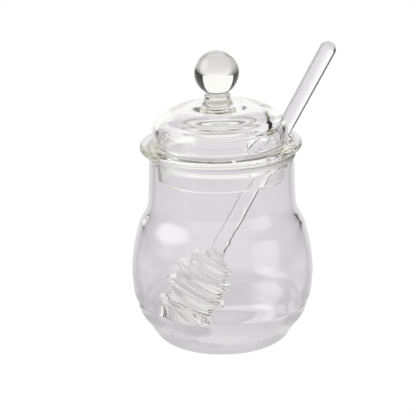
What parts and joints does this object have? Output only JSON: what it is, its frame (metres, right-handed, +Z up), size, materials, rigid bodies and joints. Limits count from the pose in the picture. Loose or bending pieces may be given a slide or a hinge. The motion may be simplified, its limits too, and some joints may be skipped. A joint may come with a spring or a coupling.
{
  "type": "honey pot with dipper",
  "caption": "Clear glass honey pot shaped like a beehive, with a domed ball-knob lid, and a ridged glass dipper that leans out through the lid's notch",
  "frame": {"origin": "the middle of the jar's base, on the surface it stands on", "axes": "+Z up through the jar and the lid's knob, +X to the side the dipper leans out to, +Y away from a viewer of the front"},
  "size_m": [0.0926, 0.082, 0.1357],
  "materials": {
    "jar_glass": "clear, fire-polished",
    "lid_glass": "clear, fire-polished",
    "dipper_glass": "clear, fire-polished"
  },
  "bodies": {
    "root": {"jar": "jar_glass", "lid": "lid_glass", "dipper": "dipper_glass"}
  },
  "joints": []
}
